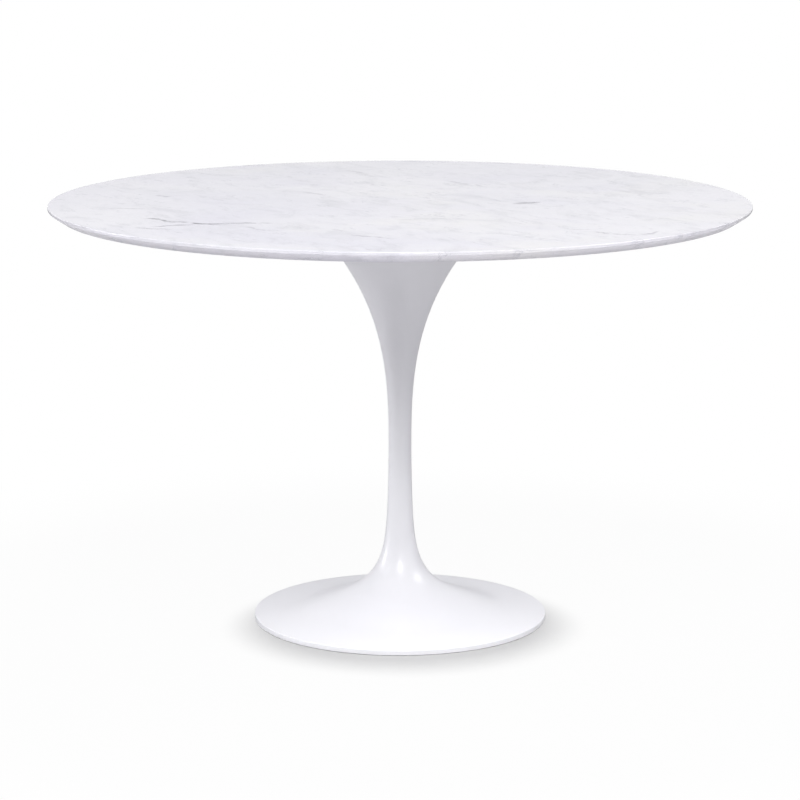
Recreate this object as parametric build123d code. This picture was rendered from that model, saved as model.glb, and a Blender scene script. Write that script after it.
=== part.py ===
from build123d import *
import os

# Round pedestal table: a marble slab on a hollow trumpet casting, clamped down by one long tie rod.
# Millimetres, +Z up. The origin is on the floor, under the middle of the top.

# whole table
table_height = 734
top_diameter = 1200
foot_diameter = 511

# marble slab: a short upright nose, then a wide bevel that runs in underneath
slab_thickness = 18
nose_height = 5
bevel_setback = 20
arris_radius = 1.6

# pedestal casting
wall = 5
rim_bottom = 0.5
rim_top = 9
rim_rounding = 1.2
waist_radius = 19.8
waist_height = 302.3
flare_growth = 59.9
flare_span = 300
flare_power = 2.85
lip_gap = 1

# stations of the foot's upper surface, from the rim to just under the waist: (radius, height)
foot_stations = [
    (foot_diameter / 2, rim_top),
    (235, 10.7),
    (205, 13.5),
    (180, 16.9),
    (155, 23.8),
    (130, 33.2),
    (106, 42.5),
    (75.5, 57.3),
    (52.5, 77.3),
    (37.3, 102.3),
    (27.6, 137.3),
    (22.9, 182.3),
    (20.7, 237.3),
]
hollow_start = 1  # the hollow begins under this station, so the rim outside it is solid

# heights above the waist where the head's flare has a station
flare_steps = [0, 70, 140, 200, 250, 300, 350, 390]

# stack between slab and pedestal
gasket_thickness = 1.5
gasket_radius = 138
gasket_bore = 30
plate_thickness = 6
plate_radius = 150
plate_bore = 10
seat_thickness = 10
seat_bore = 115
seat_reach = 180  # past the casting's wall at that height
hub_radius = 22
hub_height = 24

# M6 button-head screws into brass inserts in the stone
screw_count = 6
screw_circle = 100
screw_radius = 3
screw_length = 16
screw_hole = 3.5
screw_head_radius = 5.25
screw_head_height = 3.3
screw_socket = 4
screw_socket_depth = 2
insert_radius = 5
insert_length = 10
insert_hole_depth = 11
screw_head_rounding = 2.2
small_washer_radius = 6.2
small_washer_thickness = 1.6

# small edges and fits shared by the hidden pieces
disc_chamfer = 0.8
washer_chamfer = 0.6
rod_end_chamfer = 1
hexagon_chamfer = 1.2
hexagon_chamfer_angle = 30
small_bore_clearance = 0.2
large_bore_clearance = 0.3

# M16 tie rod and its nuts
rod_radius = 8
rod_hole = 9
rod_bottom = 34
jam_nut_height = 8
nut_height = 13
nut_flats = 24
web_bottom = 62
web_thickness = 12
web_reach = 88  # past the casting's wall at that height, so the web joins it all round
clamp_washer_radius = 30
clamp_washer_thickness = 5
spring_washer_inner = 8.1
spring_washer_outer = 13.5
spring_washer_thickness = 4
spring_washer_slit = 2

# cast-iron ballast ring and its M8 bolts
ballast_bottom = 4
ballast_bore = 45
ballast_radius = 148
ballast_collar_radius = 109
ballast_collar_height = 29
ballast_crown_radius = 76
ballast_crown_height = 42
boss_face = 16
boss_radius = 8
bolt_count = 4
bolt_circle = 120
bolt_radius = 4
bolt_length = 16
bolt_hole = 4.5
bolt_bore_depth = 11.5
bolt_head_flats = 13
bolt_head_height = 5.3
bolt_washer_radius = 8
bolt_washer_thickness = 1.6
counterbore_radius = 9.5
counterbore_depth = 7.5

# nylon glide ring in the rim's groove
glide_inner = 243.5
glide_outer = 249.5
glide_top = 4
glide_rounding = 0.7

# heights that follow from the sizes above
slab_bottom = table_height - slab_thickness
lip_top = slab_bottom - lip_gap
plate_top = slab_bottom - gasket_thickness
seat = plate_top - plate_thickness
hub_bottom = seat - hub_height
clamp_washer_bottom = web_bottom - clamp_washer_thickness
spring_washer_bottom = clamp_washer_bottom - spring_washer_thickness
clamp_nut_bottom = spring_washer_bottom - nut_height
bolt_seat = ballast_bottom + counterbore_depth - bolt_washer_thickness

upright = (Align.CENTER, Align.CENTER, Align.MIN)


def disc(radius, bottom, top):
    return Pos(0, 0, bottom) * Cylinder(radius, top - bottom, align=upright)


def ring(outer, inner, bottom, top):
    return disc(outer, bottom, top) - disc(inner, bottom, top)


def hexagon(flats, bottom, top):
    outline = RegularPolygon(radius=flats / 2, side_count=6, major_radius=False)
    return Pos(0, 0, bottom) * extrude(outline, top - bottom)


def turned(edges):
    # a solid turned about Z from a closed outline drawn as (radius, height)
    return revolve(Plane.XZ * make_face(edges), Axis.Z)


def copies(piece, count, circle):
    # the same piece, repeated evenly round a circle, with +X halfway between two of them
    return [place * piece for place in PolarLocations(circle, count, start_angle=180 / count)]


def round_edges(shape, radius):
    # the shape's circular edges of one radius
    circles = shape.edges().filter_by(GeomType.CIRCLE)
    return [edge for edge in circles if abs(edge.radius - radius) < 0.01]


def lowest_round_edges(shape):
    return shape.edges().filter_by(GeomType.CIRCLE).group_by(Axis.Z)[0]


def nut(bottom, height):
    # hexagon with its corners turned off at both ends, bored for the rod
    corner_radius = nut_flats / 3**0.5
    blank = disc(corner_radius, bottom, bottom + height)
    blank = chamfer(blank.edges().filter_by(GeomType.CIRCLE), hexagon_chamfer, angle=hexagon_chamfer_angle)
    return (blank & hexagon(nut_flats, bottom, bottom + height)) - disc(rod_radius, bottom, bottom + height)


def marble_top():
    # both upper and lower edges of the nose are eased, and the underside is drilled for the inserts
    outer = top_diameter / 2
    nose_bottom = table_height - nose_height
    outline = Polyline(
        (0, slab_bottom),
        (outer - bevel_setback, slab_bottom),
        (outer, nose_bottom),
        (outer, table_height),
        (0, table_height),
        close=True,
    )
    slab = turned(outline)
    slab = fillet(round_edges(slab, outer), arris_radius)
    hole = disc(insert_radius, slab_bottom, slab_bottom + insert_hole_depth)
    return slab - copies(hole, screw_count, screw_circle)


def top_inserts():
    insert = ring(insert_radius, screw_radius, slab_bottom, slab_bottom + insert_length)
    return copies(insert, screw_count, screw_circle)


def plate_gasket():
    holes = copies(disc(screw_hole, plate_top, slab_bottom), screw_count, screw_circle)
    return ring(gasket_radius, gasket_bore, plate_top, slab_bottom) - holes


def mounting_plate():
    holes = copies(disc(screw_hole, seat, plate_top), screw_count, screw_circle)
    plate = ring(plate_radius, plate_bore, seat, plate_top) - holes
    return chamfer(round_edges(plate, plate_radius), disc_chamfer)


def rod_hub():
    hub = ring(hub_radius, rod_radius, hub_bottom, seat)
    return chamfer(round_edges(hub, hub_radius), disc_chamfer)


def plate_screws():
    bearing = seat - small_washer_thickness
    head = disc(screw_head_radius, bearing - screw_head_height, bearing)
    head = fillet(lowest_round_edges(head), screw_head_rounding)
    socket_top = bearing - screw_head_height + screw_socket_depth
    head -= hexagon(screw_socket, bearing - screw_head_height, socket_top)
    screw = head + disc(screw_radius, bearing, bearing + screw_length)
    return copies(screw, screw_count, screw_circle)


def plate_washers():
    bore = screw_radius + small_bore_clearance
    washer = ring(small_washer_radius, bore, seat - small_washer_thickness, seat)
    return copies(washer, screw_count, screw_circle)


def tie_rod():
    rod = disc(rod_radius, rod_bottom, seat)
    return chamfer(rod.edges().filter_by(GeomType.CIRCLE), rod_end_chamfer)


def clamp_washer():
    bore = rod_radius + large_bore_clearance
    washer = ring(clamp_washer_radius, bore, clamp_washer_bottom, web_bottom)
    return chamfer(round_edges(washer, clamp_washer_radius), washer_chamfer)


def spring_washer():
    # one turn of square wire, slit through on one side
    washer = ring(spring_washer_outer, spring_washer_inner, spring_washer_bottom, clamp_washer_bottom)
    slit_align = (Align.MIN, Align.CENTER, Align.MIN)
    slit = Box(spring_washer_outer, spring_washer_slit, spring_washer_thickness, align=slit_align)
    return washer - Pos(0, 0, spring_washer_bottom) * slit


def flare_radius(height):
    # radius of the head above the waist
    return waist_radius + flare_growth * ((height - waist_height) / flare_span) ** flare_power


def trumpet_stations():
    # outer surface of the pedestal from the rim up to the lip
    heights = [waist_height + step for step in flare_steps] + [lip_top]
    return foot_stations + [(flare_radius(height), height) for height in heights]


def inner_stations(outer_curve, stations):
    # the same stations moved in by the wall thickness, square to the surface
    moved = []
    for station in stations:
        along = outer_curve.tangent_at(outer_curve.param_at_point(station))
        moved.append((station[0] - wall * along.Y, station[1] + wall * along.X))
    return moved


def pedestal():
    # one hollow casting: foot, stem and head, with a web for the clamp, a seat for the plate and four bosses
    stations = trumpet_stations()
    outer_curve = Spline(*stations)
    rim_radius, lip_radius = stations[0][0], stations[-1][0]
    closing = Polyline(
        (lip_radius, lip_top), (0, lip_top), (0, rim_bottom), (rim_radius, rim_bottom), (rim_radius, rim_top)
    )
    shell = turned([closing, outer_curve])
    inner = inner_stations(outer_curve, stations[hollow_start:])
    hollow = turned(
        [
            Polyline(inner[-1], (0, inner[-1][1]), (0, rim_bottom), (inner[0][0], rim_bottom), inner[0]),
            Spline(*inner),
        ]
    )
    web = disc(web_reach, web_bottom, web_bottom + web_thickness)
    plate_seat = ring(seat_reach, seat_bore, seat - seat_thickness, seat)
    bosses = copies(disc(boss_radius, boss_face, web_bottom), bolt_count, bolt_circle)
    body = shell - (hollow - web - plate_seat - bosses)
    body -= disc(rod_hole, web_bottom, web_bottom + web_thickness)
    body -= copies(disc(bolt_radius, boss_face, boss_face + bolt_bore_depth), bolt_count, bolt_circle)
    body -= ring(glide_outer, glide_inner, rim_bottom, glide_top)
    return fillet(round_edges(body, rim_radius), rim_rounding)


def ballast_ring():
    outline = Polyline(
        (ballast_bore, ballast_bottom),
        (ballast_radius, ballast_bottom),
        (ballast_radius, boss_face),
        (ballast_collar_radius, boss_face),
        (ballast_collar_radius, ballast_collar_height),
        (ballast_crown_radius, ballast_crown_height),
        (ballast_bore, ballast_crown_height),
        close=True,
    )
    counterbore = disc(counterbore_radius, ballast_bottom, ballast_bottom + counterbore_depth)
    hole = counterbore + disc(bolt_hole, ballast_bottom, boss_face)
    return turned(outline) - copies(hole, bolt_count, bolt_circle)


def ballast_bolts():
    head = disc(bolt_head_flats / 3**0.5, bolt_seat - bolt_head_height, bolt_seat)
    head = chamfer(lowest_round_edges(head), hexagon_chamfer, angle=hexagon_chamfer_angle)
    head &= hexagon(bolt_head_flats, bolt_seat - bolt_head_height, bolt_seat)
    bolt = head + disc(bolt_radius, bolt_seat, bolt_seat + bolt_length)
    return copies(bolt, bolt_count, bolt_circle)


def ballast_washers():
    bore = bolt_radius + small_bore_clearance
    washer = ring(bolt_washer_radius, bore, bolt_seat, bolt_seat + bolt_washer_thickness)
    return copies(washer, bolt_count, bolt_circle)


def glide_ring():
    band = ring(glide_outer, glide_inner, 0, glide_top)
    return fillet(lowest_round_edges(band), glide_rounding)


nodes = {
    "marble_top": marble_top(),
    "top_inserts": top_inserts(),
    "plate_gasket": plate_gasket(),
    "mounting_plate": mounting_plate(),
    "rod_hub": rod_hub(),
    "plate_screws": plate_screws(),
    "plate_washers": plate_washers(),
    "tie_rod": tie_rod(),
    "rod_jam_nut": nut(hub_bottom - jam_nut_height, jam_nut_height),
    "pedestal": pedestal(),
    "clamp_washer": clamp_washer(),
    "spring_washer": spring_washer(),
    "clamp_nut": nut(clamp_nut_bottom, nut_height),
    "ballast_ring": ballast_ring(),
    "ballast_bolts": ballast_bolts(),
    "ballast_washers": ballast_washers(),
    "glide_ring": glide_ring(),
}

os.makedirs("parts", exist_ok=True)
for name, shape in nodes.items():
    whole = Compound(children=shape) if isinstance(shape, list) else shape
    export_step(whole, f"parts/{name}.step")
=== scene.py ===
import math
import bpy
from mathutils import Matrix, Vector


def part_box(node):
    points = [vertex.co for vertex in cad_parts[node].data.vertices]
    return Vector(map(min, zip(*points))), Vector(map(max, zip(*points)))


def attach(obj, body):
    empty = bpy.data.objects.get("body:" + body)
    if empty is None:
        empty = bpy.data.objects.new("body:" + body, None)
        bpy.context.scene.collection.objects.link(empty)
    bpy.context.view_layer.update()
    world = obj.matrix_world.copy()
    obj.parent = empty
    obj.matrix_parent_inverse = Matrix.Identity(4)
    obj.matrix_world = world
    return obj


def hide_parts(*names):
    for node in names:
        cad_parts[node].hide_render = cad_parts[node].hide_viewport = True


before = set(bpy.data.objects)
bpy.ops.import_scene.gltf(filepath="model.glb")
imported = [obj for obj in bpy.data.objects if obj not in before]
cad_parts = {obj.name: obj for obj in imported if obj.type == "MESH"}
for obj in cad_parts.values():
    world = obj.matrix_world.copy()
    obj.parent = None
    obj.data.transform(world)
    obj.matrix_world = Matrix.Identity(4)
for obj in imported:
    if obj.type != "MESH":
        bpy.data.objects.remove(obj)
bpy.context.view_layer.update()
print("frame loaded,", len(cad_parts), "nodes")


# small helpers for the operators

def pickOnly(*pieces):
    bpy.ops.object.select_all(action="DESELECT")
    for piece in pieces:
        piece.select_set(True)
    bpy.context.view_layer.objects.active = pieces[0]


def editAll(piece):
    pickOnly(piece)
    bpy.ops.object.mode_set(mode="EDIT")
    bpy.ops.mesh.select_mode(type="VERT")
    bpy.ops.mesh.select_all(action="SELECT")


def leaveEdit():
    bpy.ops.object.mode_set(mode="OBJECT")


def addTube(name, radius, low, high, centre=(0, 0), sides=48):
    # a plain cylinder between two heights, its place already in its mesh
    bpy.ops.object.select_all(action="DESELECT")
    middle = (centre[0], centre[1], (low + high) / 2)
    bpy.ops.mesh.primitive_cylinder_add(vertices=sides, radius=radius, depth=high - low, location=middle)
    tube = bpy.context.active_object
    tube.name = name
    bpy.ops.object.transform_apply(location=True, rotation=True, scale=True)
    return tube


def tubesOnCircle(name, radius, low, high, circle, count):
    # the same cylinder evenly round a circle, with +X halfway between two of them, joined as one object
    tubes = []
    for index in range(count):
        turn = math.tau * (index + 0.5) / count
        centre = (circle * math.cos(turn), circle * math.sin(turn))
        tubes.append(addTube(name, radius, low, high, centre))
    pickOnly(*tubes)
    bpy.ops.object.join()
    return bpy.context.active_object


def combine(piece, tool, operation):
    # boolean with a tool object, applied, and the tool thrown away
    pickOnly(piece)
    bpy.ops.object.modifier_add(type="BOOLEAN")
    modifier = piece.modifiers[-1]
    modifier.operation = operation
    modifier.solver = "EXACT"
    modifier.object = tool
    bpy.ops.object.modifier_apply(modifier=modifier.name)
    bpy.data.objects.remove(tool)


smoothAngle = 35  # degrees; sharper edges than this stay crisp


def finishPiece(piece, slot, *nodes):
    pickOnly(piece)
    bpy.ops.object.shade_smooth_by_angle(angle=math.radians(smoothAngle))
    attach(piece, "root")
    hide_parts(*nodes)


# material building blocks

def newMaterial(name, **settings):
    # a Principled material with its plain values on the shader's own sockets
    material = bpy.data.materials.new(name)
    material.use_nodes = True
    shader = material.node_tree.nodes["Principled BSDF"]
    for socket, value in settings.items():
        shader.inputs[socket.replace("_", " ")].default_value = value
    return material, material.node_tree, shader


def addNode(tree, kind, **settings):
    node = tree.nodes.new(kind)
    for key, value in settings.items():
        setattr(node, key, value)
    return node


def feed(tree, socket, value):
    # a number, a colour or another node's output into a socket
    if isinstance(value, (int, float)):
        socket.default_value = value
    elif isinstance(value, tuple):
        socket.default_value = (*value, 1)
    else:
        tree.links.new(value, socket)


def objectSpace(tree, scale=(1, 1, 1), turn=0, move=(0, 0, 0)):
    # Object coordinates, turned about Z, then squeezed and moved
    place = addNode(tree, "ShaderNodeTexCoord")
    turned = addNode(tree, "ShaderNodeVectorRotate", rotation_type="Z_AXIS")
    turned.inputs["Angle"].default_value = math.radians(turn)
    tree.links.new(place.outputs["Object"], turned.inputs["Vector"])
    mapping = addNode(tree, "ShaderNodeMapping")
    mapping.inputs["Scale"].default_value = scale
    mapping.inputs["Location"].default_value = move
    tree.links.new(turned.outputs[0], mapping.inputs["Vector"])
    return mapping.outputs["Vector"]


def noise(tree, vector, scale, detail=4, roughness=0.5, distortion=0.0):
    node = addNode(tree, "ShaderNodeTexNoise")
    settings = {"Scale": scale, "Detail": detail, "Roughness": roughness, "Distortion": distortion}
    for socket, value in settings.items():
        node.inputs[socket].default_value = value
    tree.links.new(vector, node.inputs["Vector"])
    return node.outputs["Fac"]


def ramp(tree, value, low, high, outLow=0.0, outHigh=1.0):
    # value between low and high, eased into outLow to outHigh
    node = addNode(tree, "ShaderNodeMapRange", interpolation_type="SMOOTHSTEP")
    for socket, number in (("From Min", low), ("From Max", high), ("To Min", outLow), ("To Max", outHigh)):
        node.inputs[socket].default_value = number
    tree.links.new(value, node.inputs["Value"])
    return node.outputs["Result"]


def maths(tree, operation, first, second=0.0):
    node = addNode(tree, "ShaderNodeMath", operation=operation)
    feed(tree, node.inputs[0], first)
    feed(tree, node.inputs[1], second)
    return node.outputs[0]


def mixColour(tree, factor, first, second):
    node = addNode(tree, "ShaderNodeMix", data_type="RGBA")
    for socket, value in ((0, factor), (6, first), (7, second)):
        feed(tree, node.inputs[socket], value)
    return node.outputs[2]


def bumpFrom(tree, shader, height, strength, distance):
    node = addNode(tree, "ShaderNodeBump")
    node.inputs["Strength"].default_value = strength
    node.inputs["Distance"].default_value = distance
    tree.links.new(height, node.inputs["Height"])
    tree.links.new(node.outputs["Normal"], shader.inputs["Normal"])


def putMaterial(piece, material):
    piece.data.materials.clear()
    piece.data.materials.append(material)


# turned pieces: the CAD outline cut out of a copy and spun again in many more steps

welds = {
    "copied": 1e-6,  # the copy's loose triangles
    "spun": 2e-6,  # the seam and the poles
}


def turnedCopy(nodeName, newName, steps):
    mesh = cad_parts[nodeName].data.copy()
    piece = bpy.data.objects.new(newName, mesh)
    bpy.context.scene.collection.objects.link(piece)
    editAll(piece)
    bpy.ops.mesh.customdata_custom_splitnormals_clear()
    bpy.ops.mesh.remove_doubles(threshold=welds["copied"])
    bpy.ops.mesh.bisect(plane_co=(0, 0, 0), plane_no=(1, 0, 0), clear_inner=True)
    bpy.ops.mesh.select_all(action="SELECT")
    bpy.ops.mesh.bisect(plane_co=(0, 0, 0), plane_no=(0, 1, 0), clear_inner=True, clear_outer=True)
    bpy.ops.mesh.select_all(action="SELECT")
    bpy.ops.mesh.spin(steps=steps, angle=math.tau, center=(0, 0, 0), axis=(0, 0, 1))
    bpy.ops.mesh.select_all(action="SELECT")
    bpy.ops.mesh.remove_doubles(threshold=welds["spun"])
    bpy.ops.mesh.normals_make_consistent(inside=False)
    leaveEdit()
    print(newName, "spun,", len(mesh.polygons), "faces")
    return piece


slabLow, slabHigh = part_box("marble_top")
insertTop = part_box("top_inserts")[1][2]

slabShape = {
    "steps": 360,
    "insertCircle": 0.100,
    "insertCount": 6,
    "insertRadius": 0.005,
    "holeSpare": 0.001,  # the blind holes are this much deeper than the inserts
}


def makeSlab():
    slab = turnedCopy("marble_top", "marbleSlab", slabShape["steps"])
    below = slabLow[2] - slabShape["holeSpare"]
    above = insertTop + slabShape["holeSpare"]
    drills = tubesOnCircle("insertDrills", slabShape["insertRadius"], below, above,
                           slabShape["insertCircle"], slabShape["insertCount"])
    combine(slab, drills, "DIFFERENCE")
    finishPiece(slab, "marble", "marble_top")
    return slab


castingShape = {
    "steps": 240,
    "bossCircle": 0.120,
    "bossCount": 4,
    "bossRadius": 0.008,
    "bossFace": 0.016,
    "bossTop": 0.0344,  # halfway through the wall above it
    "wallSlope": -0.3875,  # how the wall falls outwards there
    "tappedRadius": 0.004,
    "tappedTop": 0.0275,
    "runOut": 0.001,  # how far the tapping drill starts below the boss
}


def makeCasting():
    casting = turnedCopy("pedestal", "trumpetCasting", castingShape["steps"])
    circle, count = castingShape["bossCircle"], castingShape["bossCount"]
    face = castingShape["bossFace"]
    bosses = tubesOnCircle("castBosses", castingShape["bossRadius"], face, castingShape["bossTop"],
                           circle, count)
    for vertex in bosses.data.vertices:
        if vertex.co.z > face + castingShape["runOut"]:
            vertex.co.z += castingShape["wallSlope"] * (math.hypot(vertex.co.x, vertex.co.y) - circle)
    combine(casting, bosses, "UNION")
    taps = tubesOnCircle("tappedHoles", castingShape["tappedRadius"], face - castingShape["runOut"],
                         castingShape["tappedTop"], circle, count)
    combine(casting, taps, "DIFFERENCE")
    finishPiece(casting, "lacquer", "pedestal")
    return casting


ringShape = {"steps": 240}


def makeGlide():
    ring = turnedCopy("glide_ring", "glideRing", ringShape["steps"])
    finishPiece(ring, "nylon", "glide_ring")
    return ring


slab = makeSlab()
casting = makeCasting()
glide = makeGlide()
print("turned pieces made")


# marble: soft lilac clouds, short drawn-out streaks, a few thin broken veins, fine crystal

marbleLook = {
    "pale": (0.658, 0.648, 0.684),
    "cloud": (0.588, 0.578, 0.640),
    "warm": (0.662, 0.652, 0.650),
    "warmOffset": (3, 1, 0),  # keeps the warm clouds clear of the lilac ones
    "streak": (0.405, 0.405, 0.445),
    "vein": (0.15, 0.15, 0.17),
    "honedEdgePaintedLight": 1.42,  # the edge below the polished top is honed, and painted paler by this: painted light where the edge faces down into shade
    "honedEdgePaintedLightDepths": (0.0035, 0.0055),
    "drift": 62,  # degrees, the way the stone's bedding runs
    "drawnOut": (1, 1.9, 1.9),
    "fineDrawnOut": (1, 2.6, 2.6),
    "fineDrift": 55.8,
    "roughness": (0.15, 0.24),
    "smudgeScale": 5,
    "veinRoughness": 0.12,
    "crystalScale": 380,
    "crystalTones": (0.97, 1.03),
    "waveScale": 90,  # faint unevenness of the polish
    "waveStrength": 0.03,
    "waveDepth": 0.0006,
}

# each pattern's scale, detail, roughness and distortion, the part of it that is used,
# and how much of it shows
marblePatterns = {
    "clouds": ((2.6, 6, 0.55, 0.4), (0.36, 0.68), 1.0),
    "warm": ((3.4, 5, 0.55, 0.0), (0.52, 0.72), 0.7),
    "mottle": ((11, 8, 0.66, 0.7), (0.46, 0.76), 0.5),
    "ridges": ((9, 9, 0.7, 0.5), (0.0, 0.022), 0.75),
    "ridgePatches": ((13, 4, 0.6, 0.0), (0.50, 0.62), 1.0),
    "veinBreaks": ((34, 5, 0.65, 0.0), (0.36, 0.54), 1.0),
}

veinWander = {
    "reach": 0.07,
    "scale": 13,
    "detail": 6,
    "roughness": 0.62,
    "core": 0.25,  # full strength out to this share of the width
    "fadeStart": 0.2,  # shares of the length, from the middle
    "fadeEnd": 0.55,
}

# middle of each vein in metres, its turn in degrees, its length and width, and how dark it is
marbleVeins = [
    (-0.392, -0.245, -40, 0.080, 0.0080, 1.00),
    (-0.330, -0.272, -24, 0.110, 0.0080, 1.00),
    (-0.262, -0.280, 5, 0.120, 0.0075, 0.90),
    (-0.365, -0.305, 20, 0.090, 0.0070, 0.75),
    (-0.400, -0.345, -30, 0.080, 0.0065, 0.60),
    (-0.455, -0.100, -12, 0.080, 0.0060, 0.45),
    (-0.230, -0.345, -44, 0.080, 0.0055, 0.45),
    (0.045, -0.230, 8, 0.120, 0.0070, 0.40),
    (-0.040, -0.430, -30, 0.100, 0.0070, 0.50),
    (0.335, -0.400, -28, 0.110, 0.0060, 0.60),
    (0.300, -0.345, 12, 0.080, 0.0060, 0.55),
    (0.395, -0.395, 62, 0.060, 0.0060, 0.50),
    (0.218, -0.022, 24, 0.046, 0.0130, 1.00),
    (0.206, -0.040, -18, 0.036, 0.0080, 0.90),
    (-0.415, 0.060, -65, 0.050, 0.0100, 0.45),
    (-0.150, 0.080, -58, 0.130, 0.0080, 0.35),
    (0.120, 0.240, -50, 0.150, 0.0080, 0.30),
    (0.400, 0.120, -64, 0.130, 0.0080, 0.30),
    (-0.080, 0.400, -60, 0.180, 0.0080, 0.30),
]


def marbleVein(tree, wanderOffset, along, vein):
    # a thin line that wanders, breaks up and fades out at both ends
    x, y, turn, length, width, strength = vein
    centred = addNode(tree, "ShaderNodeVectorMath", operation="ADD")
    tree.links.new(wanderOffset, centred.inputs[0])
    centred.inputs[1].default_value = (-x, -y, 0)
    turned = addNode(tree, "ShaderNodeVectorRotate", rotation_type="Z_AXIS")
    tree.links.new(centred.outputs[0], turned.inputs["Vector"])
    turned.inputs["Angle"].default_value = math.radians(-turn)
    parts = addNode(tree, "ShaderNodeSeparateXYZ")
    tree.links.new(turned.outputs[0], parts.inputs[0])
    across = maths(tree, "ABSOLUTE", parts.outputs["Y"])
    line = ramp(tree, across, width * veinWander["core"], width, strength, 0.0)
    ends = ramp(tree, maths(tree, "ABSOLUTE", parts.outputs["X"]),
                length * veinWander["fadeStart"], length * veinWander["fadeEnd"], 1.0, 0.0)
    return maths(tree, "MULTIPLY", maths(tree, "MULTIPLY", line, ends), along)


def marblePattern(tree, name, space):
    # one of the named patterns as a factor from 0 to the amount that shows
    settings, (low, high), amount = marblePatterns[name]
    return ramp(tree, noise(tree, space, *settings), low, high, 0.0, amount)


def wanderingSpace(tree, space):
    # the veins share this wandering copy of the coordinates
    wobble = addNode(tree, "ShaderNodeTexNoise")
    for socket in ("Scale", "Detail", "Roughness"):
        wobble.inputs[socket].default_value = veinWander[socket.lower()]
    tree.links.new(space, wobble.inputs["Vector"])
    centre = addNode(tree, "ShaderNodeVectorMath", operation="SUBTRACT")
    centre.inputs[1].default_value = (0.5, 0.5, 0.5)
    tree.links.new(wobble.outputs["Color"], centre.inputs[0])
    size = addNode(tree, "ShaderNodeVectorMath", operation="SCALE")
    size.inputs["Scale"].default_value = veinWander["reach"]
    tree.links.new(centre.outputs[0], size.inputs[0])
    moved = addNode(tree, "ShaderNodeVectorMath", operation="ADD")
    tree.links.new(space, moved.inputs[0])
    tree.links.new(size.outputs[0], moved.inputs[1])
    return moved.outputs[0]


def makeMarble():
    material, tree, shader = newMaterial("polishedMarble", IOR=1.5)
    space = objectSpace(tree)
    drawn = objectSpace(tree, scale=marbleLook["drawnOut"], turn=marbleLook["drift"])
    fine = objectSpace(tree, scale=marbleLook["fineDrawnOut"], turn=marbleLook["fineDrift"])
    colour = mixColour(tree, marblePattern(tree, "clouds", space), marbleLook["pale"], marbleLook["cloud"])
    warm = marblePattern(tree, "warm", objectSpace(tree, move=marbleLook["warmOffset"]))
    colour = mixColour(tree, warm, colour, marbleLook["warm"])
    colour = mixColour(tree, marblePattern(tree, "mottle", drawn), colour, marbleLook["streak"])

    # dashes run where a fine noise crosses its middle value
    settings, (low, high), amount = marblePatterns["ridges"]
    ridge = maths(tree, "ABSOLUTE", maths(tree, "SUBTRACT", noise(tree, fine, *settings), 0.5))
    dashes = maths(tree, "MULTIPLY", ramp(tree, ridge, low, high, amount, 0.0),
                   marblePattern(tree, "ridgePatches", drawn))
    colour = mixColour(tree, dashes, colour, marbleLook["streak"])

    wandering = wanderingSpace(tree, space)
    broken = marblePattern(tree, "veinBreaks", space)
    veins = None
    for vein in marbleVeins:
        one = marbleVein(tree, wandering, broken, vein)
        veins = one if veins is None else maths(tree, "MAXIMUM", veins, one)
    colour = mixColour(tree, veins, colour, marbleLook["vein"])

    # crystal grain, a few millimetres across
    crystal = addNode(tree, "ShaderNodeTexVoronoi")
    crystal.inputs["Scale"].default_value = marbleLook["crystalScale"]
    tree.links.new(space, crystal.inputs["Vector"])
    grain = ramp(tree, crystal.outputs["Distance"], 0.0, 0.9, *marbleLook["crystalTones"])
    height = addNode(tree, "ShaderNodeSeparateXYZ")
    tree.links.new(space, height.inputs[0])
    # painted light: the honed edge under the top is made paler than the stone, standing in for light that
    # face does not get
    shallow, deep = marbleLook["honedEdgePaintedLightDepths"]
    top = slabHigh[2]
    edge = ramp(tree, height.outputs["Z"], top - deep, top - shallow, marbleLook["honedEdgePaintedLight"], 1.0)
    scaled = addNode(tree, "ShaderNodeVectorMath", operation="SCALE")
    tree.links.new(colour, scaled.inputs[0])
    tree.links.new(maths(tree, "MULTIPLY", grain, edge), scaled.inputs["Scale"])
    tree.links.new(scaled.outputs[0], shader.inputs["Base Color"])

    smudges = ramp(tree, noise(tree, space, marbleLook["smudgeScale"], 5, 0.6), 0.35, 0.7,
                   *marbleLook["roughness"])
    dulled = maths(tree, "MULTIPLY", veins, marbleLook["veinRoughness"])
    tree.links.new(maths(tree, "ADD", smudges, dulled), shader.inputs["Roughness"])
    waves = noise(tree, space, marbleLook["waveScale"], 6, 0.6)
    bumpFrom(tree, shader, waves, marbleLook["waveStrength"], marbleLook["waveDepth"])
    return material


# white lacquer: sprayed orange peel, handling smudges, light scuffing near the floor

lacquerLook = {
    "white": (0.776, 0.774, 0.797),
    "shade": (0.768, 0.767, 0.791),
    "scuff": (0.74, 0.735, 0.73),
    "roughness": (0.29, 0.34),
    "coatScale": 4,
    "smudgeScale": 9,
    "scuffHeight": 0.012,
    "scuffFull": 0.0036,  # below this the scuffing is at its full strength
    "scuffScale": 60,
    "scuffFlat": (1, 1, 6),
    "scuffAmount": 0.6,
    "scuffRoughness": 0.25,
    "peelScale": 330,
    "peelStrength": 0.6,
    "peelDepth": 0.00003,
}


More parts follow.
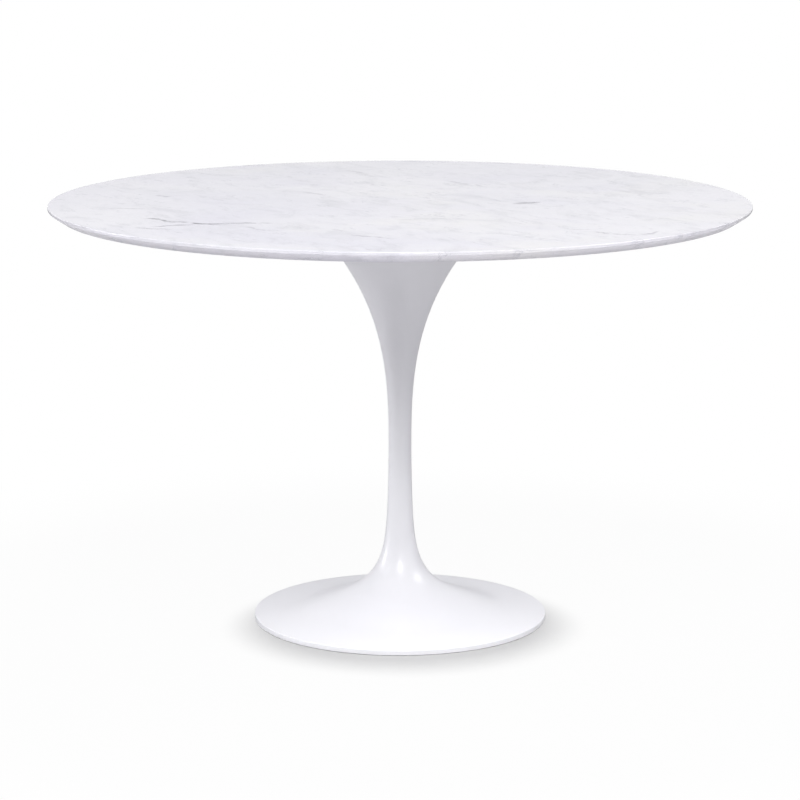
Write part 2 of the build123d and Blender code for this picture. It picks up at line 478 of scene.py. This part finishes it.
def makeLacquer():
    material, tree, shader = newMaterial("whiteLacquer", IOR=1.5)
    space = objectSpace(tree)
    coats = ramp(tree, noise(tree, space, lacquerLook["coatScale"], 2, 0.5), 0.2, 0.8)
    colour = mixColour(tree, coats, lacquerLook["white"], lacquerLook["shade"])
    parts = addNode(tree, "ShaderNodeSeparateXYZ")
    tree.links.new(space, parts.inputs[0])
    nearFloor = ramp(tree, parts.outputs["Z"], lacquerLook["scuffFull"], lacquerLook["scuffHeight"], 1.0, 0.0)
    flattened = objectSpace(tree, scale=lacquerLook["scuffFlat"])
    marks = ramp(tree, noise(tree, flattened, lacquerLook["scuffScale"], 6, 0.7), 0.52, 0.70)
    scuffs = maths(tree, "MULTIPLY", nearFloor, marks)
    scuffed = maths(tree, "MULTIPLY", scuffs, lacquerLook["scuffAmount"])
    tree.links.new(mixColour(tree, scuffed, colour, lacquerLook["scuff"]), shader.inputs["Base Color"])
    smudges = ramp(tree, noise(tree, space, lacquerLook["smudgeScale"], 3, 0.5), 0.25, 0.75,
                   *lacquerLook["roughness"])
    dulled = maths(tree, "MULTIPLY", scuffs, lacquerLook["scuffRoughness"])
    tree.links.new(maths(tree, "ADD", smudges, dulled), shader.inputs["Roughness"])
    peel = noise(tree, space, lacquerLook["peelScale"], 2, 0.4)
    bumpFrom(tree, shader, peel, lacquerLook["peelStrength"], lacquerLook["peelDepth"])
    return material


# finishes of the pieces inside: each has its two tones, grain size and depth, and how its gloss varies

innerFinishes = {
    "zincPlate": {
        "nodes": ["plate_screws", "plate_washers", "tie_rod", "rod_jam_nut", "clamp_washer", "clamp_nut",
                  "ballast_bolts", "ballast_washers"],
        "tones": [(0.60, 0.62, 0.66), (0.72, 0.70, 0.62)], "metallic": 1.0, "gloss": (0.22, 0.42),
        "patchScale": 45, "grainScale": 900, "grainDepth": 0.0001, "stretch": (1, 1, 0.2),
    },
    "springSteel": {
        "nodes": ["spring_washer"],
        "tones": [(0.10, 0.10, 0.11), (0.17, 0.16, 0.16)], "metallic": 1.0, "gloss": (0.35, 0.55),
        "patchScale": 120, "grainScale": 1200, "grainDepth": 0.0001, "stretch": (1, 1, 1),
    },
    "blackPowderCoat": {
        "nodes": ["mounting_plate", "rod_hub"],
        "tones": [(0.022, 0.022, 0.024), (0.034, 0.034, 0.036)], "metallic": 0.0, "gloss": (0.42, 0.58),
        "patchScale": 14, "grainScale": 650, "grainDepth": 0.0004, "stretch": (1, 1, 1),
    },
    "turnedBrass": {
        "nodes": ["top_inserts"],
        "tones": [(0.79, 0.56, 0.24), (0.62, 0.42, 0.17)], "metallic": 1.0, "gloss": (0.24, 0.44),
        "patchScale": 90, "grainScale": 700, "grainDepth": 0.0001, "stretch": (1, 1, 8),
    },
    "blackRubber": {
        "nodes": ["plate_gasket"],
        "tones": [(0.018, 0.018, 0.019), (0.040, 0.039, 0.038)], "metallic": 0.0, "gloss": (0.68, 0.85),
        "patchScale": 20, "grainScale": 500, "grainDepth": 0.0003, "stretch": (1, 1, 1),
    },
    "castIron": {
        "nodes": ["ballast_ring"],
        "tones": [(0.085, 0.085, 0.090), (0.150, 0.095, 0.062)], "metallic": 0.6, "gloss": (0.55, 0.82),
        "patchScale": 22, "grainScale": 260, "grainDepth": 0.0012, "stretch": (1, 1, 1),
    },
    "naturalNylon": {
        "nodes": [],
        "tones": [(0.74, 0.73, 0.70), (0.58, 0.57, 0.54)], "metallic": 0.0, "gloss": (0.38, 0.60),
        "patchScale": 30, "grainScale": 400, "grainDepth": 0.0002, "stretch": (1, 1, 1),
    },
}


def makeInnerFinish(name, look):
    material, tree, shader = newMaterial(name, Metallic=look["metallic"])
    space = objectSpace(tree)
    patches = ramp(tree, noise(tree, space, look["patchScale"], 6, 0.62, 0.4), 0.40, 0.70)
    first, second = look["tones"]
    tree.links.new(mixColour(tree, patches, first, second), shader.inputs["Base Color"])
    grain = noise(tree, objectSpace(tree, scale=look["stretch"]), look["grainScale"], 4, 0.6)
    blend = maths(tree, "MULTIPLY", maths(tree, "ADD", patches, grain), 0.5)
    tree.links.new(ramp(tree, blend, 0.1, 0.8, *look["gloss"]), shader.inputs["Roughness"])
    bumpFrom(tree, shader, grain, 0.5, look["grainDepth"])
    return material


putMaterial(slab, makeMarble())
putMaterial(casting, makeLacquer())
for finishName, look in innerFinishes.items():
    finish = makeInnerFinish(finishName, look)
    for nodeName in look["nodes"]:
        putMaterial(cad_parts[nodeName], finish)
    if finishName == "naturalNylon":
        putMaterial(glide, finish)
print("materials made")


# studio: paper floor with a painted contact shadow round the foot, white room and softboxes round the table

studio = {
    "floorSize": 60,
    # the paper's colour where the camera sees it, which sets how dark the painted contact shadow is
    "floorSeen": (0.495, 0.495, 0.490),
    "floorThrown": (0.510, 0.505, 0.515),
    "paintedShadowEdge": (0.199, 0.325, 0.96),  # the paper glows brighter between these two radii, to this much; inside the first it keeps its lit shading as a painted contact shadow round the foot
    "farGlow": (0.80, 1.35, 0.04),  # and again between these, to plain white
    "paintedShadowMiddle": (-0.007, 0.068, 0),  # moved by this to bring the painted shadow's middle under the foot's front
    "roomColour": (0.965, 0.97, 1.0),
    "horizonStrength": 0.30,  # the room is darker low down, all round
    "roomStrength": 0.50,
    "horizonHeights": (12, 28),  # degrees, where the one eases into the other
    "lampDistance": 6,
    "lampSize": 1.8,
    "lampAim": (0, 0, 0.45),
}

# direction round the table and height in degrees, 0 being the front, then watts
softboxes = {
    "frontSoftbox": (0, 32, 125),
    "frontHighSoftbox": (0, 42, 79),
    "overFrontSoftbox": (0, 55, 120),
    "leftFrontSoftbox": (-60, 32, 29),
    "rightSoftbox": (90, 42, 96),
    "rightLowSoftbox": (60, 8, 15),
    "leftLowSoftbox": (-100, 8, 111),
}

# pale card standing behind the table, which the polished top mirrors
backCard = {
    "width": 7,
    "height": 2.4,
    "place": (0, 4.5, 1.6),
    "watts": 28,
    "turn": -90,  # degrees about X, to face the table
}


def cameraSees(tree, seen, thrown):
    # one shader for what is looked at, another for the light it throws back
    rays = addNode(tree, "ShaderNodeLightPath")
    mix = addNode(tree, "ShaderNodeMixShader")
    tree.links.new(rays.outputs["Is Camera Ray"], mix.inputs[0])
    tree.links.new(thrown, mix.inputs[1])
    tree.links.new(seen, mix.inputs[2])
    return mix.outputs[0]


def makeFloor():
    bpy.ops.object.select_all(action="DESELECT")
    bpy.ops.mesh.primitive_plane_add(size=studio["floorSize"], location=(0, 0, 0))
    floor = bpy.context.active_object
    floor.name = "studioFloor"
    material = bpy.data.materials.new("floorPaper")
    material.use_nodes = True
    tree = material.node_tree
    tree.nodes.clear()
    near = addNode(tree, "ShaderNodeBsdfDiffuse", name="near")
    near.inputs["Color"].default_value = (*studio["floorSeen"], 1)
    far = addNode(tree, "ShaderNodeEmission")
    far.inputs["Strength"].default_value = 1
    distance = addNode(tree, "ShaderNodeVectorMath", operation="LENGTH")
    tree.links.new(objectSpace(tree, move=studio["paintedShadowMiddle"]), distance.inputs[0])
    # painted shadow: the floor glows white except round the foot, where it keeps its lit shading as a contact
    # shadow, moved towards the front
    glows = [ramp(tree, distance.outputs["Value"], start, full, 0.0, most)
             for start, full, most in (studio["paintedShadowEdge"], studio["farGlow"])]
    seen = addNode(tree, "ShaderNodeMixShader", name="glowing")
    tree.links.new(maths(tree, "ADD", *glows), seen.inputs[0])
    tree.links.new(near.outputs[0], seen.inputs[1])
    tree.links.new(far.outputs[0], seen.inputs[2])
    thrown = addNode(tree, "ShaderNodeBsdfDiffuse", name="thrown")
    thrown.inputs["Color"].default_value = (*studio["floorThrown"], 1)
    out = addNode(tree, "ShaderNodeOutputMaterial")
    tree.links.new(cameraSees(tree, seen.outputs[0], thrown.outputs[0]), out.inputs["Surface"])
    putMaterial(floor, material)


def makeRoom():
    world = bpy.data.worlds.new("studioRoom")
    bpy.context.scene.world = world
    world.use_nodes = True
    tree = world.node_tree
    thrown = tree.nodes["Background"]
    thrown.inputs["Color"].default_value = (*studio["roomColour"], 1)
    parts = addNode(tree, "ShaderNodeSeparateXYZ")
    tree.links.new(objectSpace(tree), parts.inputs[0])
    low, high = [math.sin(math.radians(angle)) for angle in studio["horizonHeights"]]
    strength = ramp(tree, parts.outputs["Z"], low, high, studio["horizonStrength"], studio["roomStrength"])
    tree.links.new(strength, thrown.inputs["Strength"])
    seen = addNode(tree, "ShaderNodeBackground")
    seen.inputs["Color"].default_value = (1, 1, 1, 1)
    seen.inputs["Strength"].default_value = 1
    out = tree.nodes["World Output"]
    tree.links.new(cameraSees(tree, seen.outputs[0], thrown.outputs[0]), out.inputs["Surface"])
    bpy.context.scene.view_settings.view_transform = "Standard"


def addSoftbox(name, side, height, watts):
    side, height = math.radians(side), math.radians(height)
    level = math.cos(height)
    towards = Vector((math.sin(side) * level, -math.cos(side) * level, math.sin(height)))
    place = Vector(studio["lampAim"]) + towards * studio["lampDistance"]
    bpy.ops.object.light_add(type="AREA", location=place)
    lamp = bpy.context.active_object
    lamp.name = name
    lamp.rotation_euler = towards.to_track_quat("Z", "Y").to_euler()
    lamp.data.shape = "DISK"
    lamp.data.size = studio["lampSize"]
    lamp.data.energy = watts
    lamp.visible_camera = False


def addBackCard():
    turn = (math.radians(backCard["turn"]), 0, 0)
    bpy.ops.object.light_add(type="AREA", location=backCard["place"], rotation=turn)
    card = bpy.context.active_object
    card.name = "backCard"
    card.data.shape = "RECTANGLE"
    card.data.size = backCard["width"]
    card.data.size_y = backCard["height"]
    card.data.energy = backCard["watts"]
    card.visible_camera = False


cameraFit = {
    "place": (0, -4.9673, 1.3801),
    "pitch": 78.688,
    "lens": 131.3,
    "sensor": 36,
    "reach": 200,
}


def makeCamera():
    turn = (math.radians(cameraFit["pitch"]), 0, 0)
    bpy.ops.object.camera_add(location=cameraFit["place"], rotation=turn)
    camera = bpy.context.active_object
    camera.name = "tableCamera"
    camera.data.lens = cameraFit["lens"]
    camera.data.sensor_width = cameraFit["sensor"]
    camera.data.clip_end = cameraFit["reach"]
    bpy.context.scene.camera = camera


makeFloor()
makeRoom()
for name, (side, height, watts) in softboxes.items():
    addSoftbox(name, side, height, watts)
addBackCard()
makeCamera()
print("studio made")
